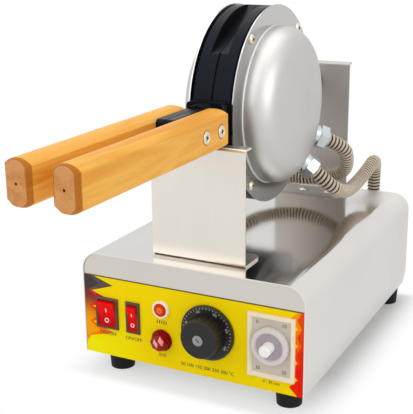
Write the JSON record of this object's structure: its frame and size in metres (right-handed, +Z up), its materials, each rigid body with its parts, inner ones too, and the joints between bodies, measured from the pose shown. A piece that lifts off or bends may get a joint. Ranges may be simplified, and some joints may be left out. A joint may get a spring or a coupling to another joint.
{
  "type": "waffle cone maker",
  "caption": "Bench waffle cone maker: hinged round baking plates with wooden handles on a head that rolls between two stands, over a stainless base with switches, dial and timer.",
  "frame": {"origin": "middle of the footprint on the surface the feet stand on, the cords left out", "axes": "+Z up, +Y towards the rear panel, +X to the right as seen from the control panel"},
  "size_m": [0.228, 0.564, 0.3474],
  "materials": {
    "stainless": "satin",
    "dome_steel": "satin",
    "plate_black": "non-stick satin black coat",
    "handle_wood": "clear satin varnish",
    "foot_rubber": "matte",
    "overlay_yellow": "printed, semi-gloss",
    "zinc": "zinc plated",
    "conduit_steel": "ribbed, satin",
    "switch_frame": "semi-gloss",
    "switch_red": "gloss",
    "lens_red": "clear gloss",
    "lens_orange": "clear gloss",
    "cream_plastic": "semi-gloss",
    "timer_beige": "matte",
    "white_plastic": "semi-gloss",
    "knob_black": "satin",
    "hub_grey": "brushed",
    "bronze": "turned",
    "bright_steel": "turned",
    "inner_plastic": "matte",
    "inner_cream": "matte",
    "heater_steel": "heat tinted"
  },
  "bodies": {
    "base": {"base_shell": "stainless", "front_plate": "stainless", "control_overlay": "overlay_yellow", "rear_panel": "stainless", "bottom_cover": "stainless", "feet": "foot_rubber", "foot_screws": "bright_steel", "front_stand": "stainless", "front_stand_bolts": "bright_steel", "rear_stand": "stainless", "rear_stand_bolts": "bright_steel", "axle_bush": "bronze", "conduit_elbow": "zinc", "mains_cord_gland": "inner_plastic", "supply_conduit": "conduit_steel", "power_switch_housing": "switch_frame", "alarm_switch_housing": "switch_frame", "heat_lamp_bezel": "white_plastic", "heat_lamp_lens": "lens_orange", "alarm_lamp_bezel": "lens_red", "alarm_lamp_lens": "lens_red", "thermostat": "inner_plastic", "timer_bezel": "cream_plastic", "timer_face": "timer_beige", "timer_body": "inner_cream", "terminal_block": "inner_cream", "relay": "inner_plastic", "buzzer": "inner_plastic"},
    "head": {"right_plate": "plate_black", "right_cover_ring": "dome_steel", "right_dome": "dome_steel", "right_cover_screws": "bright_steel", "right_heater": "heater_steel", "right_heater_clamp": "heater_steel", "right_handle": "handle_wood", "right_handle_screws": "bright_steel", "right_glands": "zinc", "roll_axle": "bright_steel", "axle_nut": "zinc", "hinge_pin": "bright_steel", "link_conduit": "conduit_steel"},
    "left_half": {"left_plate": "plate_black", "left_cover_ring": "dome_steel", "left_dome": "dome_steel", "left_cover_screws": "bright_steel", "left_heater": "heater_steel", "left_heater_clamp": "heater_steel", "left_handle": "handle_wood", "left_handle_screws": "bright_steel", "left_gland": "zinc"},
    "temperature_knob": {"temperature_knob": "knob_black", "temperature_knob_hub": "hub_grey"},
    "timer_dial": {"timer_dial": "white_plastic", "timer_button": "white_plastic"},
    "power_rocker": {"power_rocker": "switch_red"},
    "alarm_rocker": {"alarm_rocker": "switch_red"}
  },
  "joints": [
    {"name": "head_roll", "type": "hinge", "parent": "base", "child": "head", "pos_m": [0, 0.227, 0.2516], "axis": [0, 1, 0], "range_deg": [-90, 90], "deforming": ["supply_conduit"]},
    {"name": "plate_open", "type": "hinge", "parent": "head", "child": "left_half", "pos_m": [0, 0.176, 0.2516], "axis": [0, 0, -1], "range_deg": [0, 90], "deforming": ["link_conduit"]},
    {"name": "temperature_dial", "type": "hinge", "parent": "base", "child": "temperature_knob", "pos_m": [0.0203, -0.077, 0.0668], "axis": [0, 1, 0], "range_deg": [0, 300]},
    {"name": "timer_turn", "type": "hinge", "parent": "base", "child": "timer_dial", "pos_m": [0.0827, -0.077, 0.0671], "axis": [0, 1, 0], "range_deg": [0, 300]},
    {"name": "power_rock", "type": "hinge", "parent": "base", "child": "power_rocker", "pos_m": [-0.0876, -0.075, 0.066], "axis": [-1, 0, 0], "range_deg": [0, 16]},
    {"name": "alarm_rock", "type": "hinge", "parent": "base", "child": "alarm_rocker", "pos_m": [-0.059, -0.075, 0.066], "axis": [-1, 0, 0], "range_deg": [0, 16]}
  ]
}
